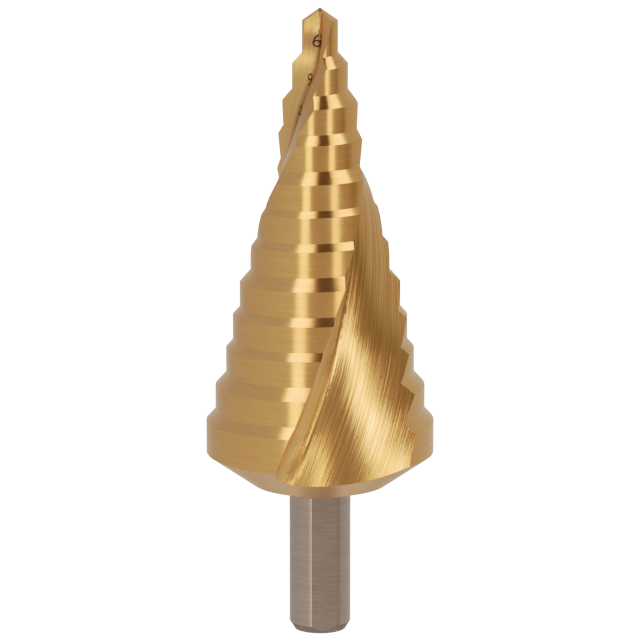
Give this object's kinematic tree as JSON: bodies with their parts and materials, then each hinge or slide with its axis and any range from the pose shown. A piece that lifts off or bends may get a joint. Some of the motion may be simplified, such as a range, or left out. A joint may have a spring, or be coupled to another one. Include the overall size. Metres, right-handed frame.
{
  "type": "step drill bit",
  "caption": "Step drill bit with a stepped conical body, two spiral flutes and a short round shank with three flats.",
  "frame": {"origin": "centre of the flat end of the shank", "axes": "+Z along the drill's axis, from the shank to the point; +Y away from the side shown first"},
  "size_m": [0.037, 0.0356, 0.1023],
  "materials": {
    "tool_steel": "ground high-speed steel with a gold titanium nitride coating on the cutting body; the shank is bare ground steel"
  },
  "bodies": {
    "root": {"step_drill": "tool_steel"}
  },
  "joints": []
}
